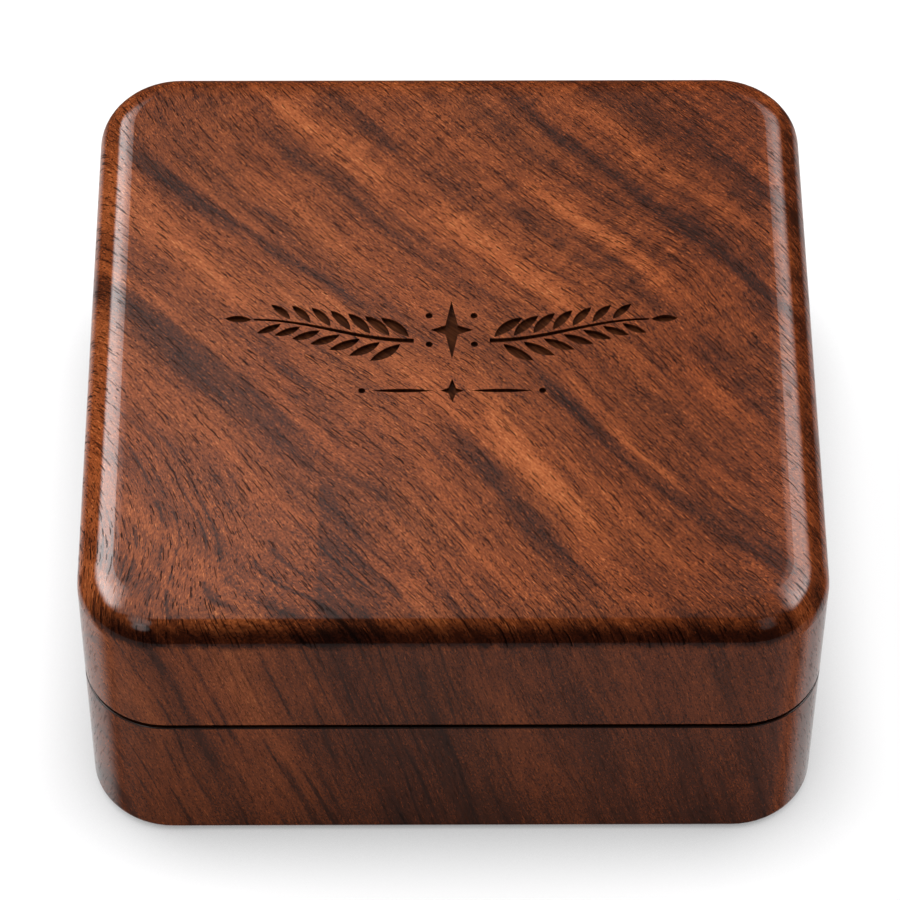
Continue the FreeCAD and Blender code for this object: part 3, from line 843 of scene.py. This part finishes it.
# ---------------------------------------------------------------- floor and light
def make_floor():
    """Pale sweep: a flat disc that curls up into a low wall far away."""
    bm = bmesh.new()
    profile = [(0.0, 0.0), (0.3, 0.0), (1.0, 0.0), (1.8, 0.0)]
    for i in range(1, 13):
        a = math.radians(90 * i / 12)
        profile.append((1.8 + 0.7 * math.sin(a), 0.7 - 0.7 * math.cos(a)))
    count = 96
    rings = []
    for r, h in profile[1:]:
        rings.append([bm.verts.new((r * math.cos(2 * math.pi * i / count), r * math.sin(2 * math.pi * i / count), h)) for i in range(count)])
    centre = bm.verts.new((0, 0, 0))
    for i in range(count):
        bm.faces.new((centre, rings[0][i], rings[0][(i + 1) % count]))
    for a, b in zip(rings, rings[1:]):
        for i in range(count):
            bm.faces.new((a[i], b[i], b[(i + 1) % count], a[(i + 1) % count]))
    for f in bm.faces:
        f.smooth = True
    me = bpy.data.meshes.new("studio_floor")
    bm.to_mesh(me)
    bm.free()
    o = bpy.data.objects.new("studio_floor", me)
    scene.collection.objects.link(o)
    m, g, bsdf = new_material("studio_floor")
    bsdf.inputs["Base Color"].default_value = (0.17, 0.168, 0.172, 1.0)
    bsdf.inputs["Roughness"].default_value = 0.9
    bsdf.inputs["Specular IOR Level"].default_value = 0.0
    # A softly glowing table, as under product shots; ambient occlusion dims its glow where something stands close, a
    # painted contact shadow.
    bsdf.inputs["Emission Color"].default_value = (1.0, 1.0, 1.0, 1.0)
    ao = g.nodes.new("ShaderNodeAmbientOcclusion")
    ao.samples = 6
    ao.inputs["Distance"].default_value = 0.012
    g.links.new(g.mul(g.math("POWER", ao.outputs["AO"], 0.75), 0.86), bsdf.inputs["Emission Strength"])
    me.materials.append(m)
    o.visible_glossy = False
    return o


make_floor()


def make_world():
    """Studio light as seen from the box: two long soft panels behind it to the left and right, a dim ceiling between them, a dark room in front."""
    w = bpy.data.worlds.new("studio")
    scene.world = w
    w.use_nodes = True
    w.node_tree.nodes.clear()
    g = Graph(w.node_tree)
    out = g.nodes.new("ShaderNodeOutputWorld")
    bg = g.nodes.new("ShaderNodeBackground")
    tc = g.nodes.new("ShaderNodeTexCoord")
    x, y, z = g.xyz(tc.outputs["Generated"])
    deg = 180.0 / math.pi
    lean = g.mul(g.math("ARCTAN2", g.mul(x, -1.0), z), deg)     # 0 overhead, 90 level to the left
    back = g.mul(g.math("ARCSINE", y), deg)                     # 90 level behind
    front_tilt = g.mul(g.math("ARCTAN2", g.mul(y, -1.0), z), deg)
    # The panels' inner ends slant away from the middle towards the front, and fade slowly.
    forward = g.math("MAXIMUM", g.sub(37.0, back), 0.0)
    rear = g.step(back, 36.0, 41.0)
    left = g.step(lean, g.mad(forward, 0.5, 5.0), g.total(24.0, g.mul(forward, 0.9), g.mul(rear, 12.0)))
    left = g.mul(left, g.step(lean, g.step(back, 33.0, 40.0, 66.0, 57.0), g.step(back, 33.0, 40.0, 48.0, 46.0)))
    left = g.mul(left, g.mul(g.step(back, -16.0, -3.0), g.step(back, 55.0, 46.0)))
    left = g.mul(left, g.mul(g.step(back, 12.0, 36.0, 1.26, 0.90), g.step(back, 40.0, 44.5, 1.0, 0.84)))
    other = g.mul(lean, -1.0)
    wide = g.math("MINIMUM", g.mad(forward, 0.5, 38.0), 50.0)
    right = g.step(other, g.mad(forward, 0.55, 3.5), g.total(20.0, g.mul(forward, 0.8), g.mul(rear, 13.0)))
    right = g.mul(right, g.step(other, g.add(wide, g.step(forward, 0.0, 24.0, 24.0, 14.0)), wide))
    right = g.mul(right, g.mul(g.step(back, -22.0, -3.0), g.step(back, 55.0, 46.0)))
    right = g.mul(right, g.mul(g.step(back, 8.0, 34.0, 1.60, 0.93), g.step(back, 40.0, 44.5, 1.0, 0.78)))
    # The ceiling: brighter to the front left, dimmer to the back and right.
    glow = g.total(
        0.42,
        g.mul(g.step(lean, -3.0, 3.5), g.step(back, 44.0, 37.0, 0.0, 0.66)),
        g.step(lean, -1.0, -6.0, 0.0, -0.16),
    )
    glow = g.mul(glow, g.step(back, 41.5, 46.0, 1.0, 0.45))
    ceiling = g.mul(glow, g.step(front_tilt, 34.0, 27.0))
    ceiling = g.mul(ceiling, g.step(g.math("ABSOLUTE", lean), 62.0, 50.0))
    ceiling = g.mul(ceiling, g.step(front_tilt, -75.0, -60.0))

    def spot(dx, dy, dz, inner, outer):
        n = math.sqrt(dx * dx + dy * dy + dz * dz)
        d = g.linear((x, y, z), dx / n, dy / n, dz / n)
        return g.step(d, math.cos(math.radians(outer)), math.cos(math.radians(inner)))

    below = g.mul(g.step(z, -0.34, -0.43), g.step(y, 0.1, -0.3))
    level = g.total(
        0.03,
        g.mul(left, 9.6),
        g.mul(right, 5.2),
        ceiling,
        g.mul(spot(-0.405, -0.63, 0.665, 4.0, 16.0), 1.8),
        g.mul(spot(-0.430, -0.80, 0.42, 3.0, 13.0), 1.9),
        g.mul(spot(0.400, -0.64, 0.655, 3.0, 13.0), 0.6),
        g.mul(spot(0.440, -0.79, 0.42, 3.0, 13.0), 0.5),
        g.mul(g.mul(g.step(lean, 108.0, 134.0), g.step(y, -0.1, 0.2, 0.0, 0.8)), g.step(y, 0.78, 0.66)),
        g.mul(g.mul(g.step(other, 106.0, 128.0), g.step(y, -0.1, 0.2, 0.0, 0.75)), g.step(y, 0.78, 0.66)),
        g.mul(below, g.step(z, -0.845, -0.815, 0.0, 0.22)),
    )
    g.links.new(level, bg.inputs["Strength"])
    g.links.new(bg.outputs[0], out.inputs["Surface"])
    w.cycles.sampling_method = "MANUAL"
    w.cycles.sample_map_resolution = 1024


make_world()
